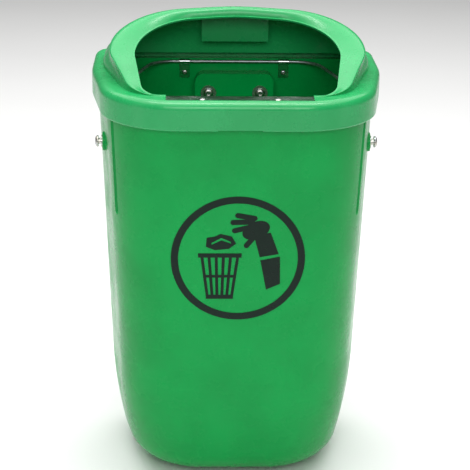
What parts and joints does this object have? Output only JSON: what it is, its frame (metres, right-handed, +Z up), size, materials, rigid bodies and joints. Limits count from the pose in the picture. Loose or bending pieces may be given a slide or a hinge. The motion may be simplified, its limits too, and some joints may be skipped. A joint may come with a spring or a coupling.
{
  "type": "hooded litter bin",
  "caption": "Hooded litter bin with a tapered tub, a lift-off rain hood with one large mouth, a stubbing plate, side pivot pins and a rear latch for tipping it empty.",
  "frame": {"origin": "on the floor under the middle of the collar", "axes": "+Z up, -Y towards the front with the emblem, +X to the right seen from the front"},
  "size_m": [0.43, 0.338, 0.7003],
  "materials": {
    "tub_plastic": "glossy moulded HDPE, pure green",
    "hood_plastic": "glossy moulded HDPE, slightly paler green",
    "stainless": "bright rolled stainless sheet",
    "zinc_steel": "bright zinc plated",
    "galvanised_steel": "galvanised, dull spangle",
    "print_ink": "hot-stamped film, satin"
  },
  "bodies": {
    "bin": {"bag_hoop": "galvanised_steel", "bag_hoop_clip_rivets": "zinc_steel", "bag_hoop_clips": "stainless", "bin_body": "tub_plastic", "emblem_basket": "print_ink", "emblem_hand": "print_ink", "emblem_paper": "print_ink", "emblem_ring": "print_ink", "latch_case": "galvanised_steel", "latch_case_bolts": "zinc_steel", "latch_case_nuts": "zinc_steel", "latch_case_washers": "zinc_steel", "pivot_inner_washer_left": "zinc_steel", "pivot_inner_washer_right": "zinc_steel", "pivot_lock_nut_left": "zinc_steel", "pivot_lock_nut_right": "zinc_steel", "pivot_outer_washer_left": "zinc_steel", "pivot_outer_washer_right": "zinc_steel", "pivot_pin_left": "zinc_steel", "pivot_pin_right": "zinc_steel"},
    "hood": {"hood": "hood_plastic", "stubbing_plate": "stainless", "stubbing_plate_rivets": "zinc_steel", "stubbing_plate_rivet_washers": "zinc_steel"},
    "latch": {"latch_spindle": "zinc_steel", "latch_pawl": "galvanised_steel", "latch_cross_pin": "stainless", "latch_retaining_ring": "stainless"}
  },
  "joints": [
    {"name": "hood_lift", "type": "slide", "parent": "bin", "child": "hood", "axis": [0, 0, 1], "range_m": [0, 0.15]},
    {"name": "latch_turn", "type": "hinge", "parent": "bin", "child": "latch", "pos_m": [0, 0.146, 0.522], "axis": [1, 0, 0], "range_deg": [0, 60]}
  ]
}
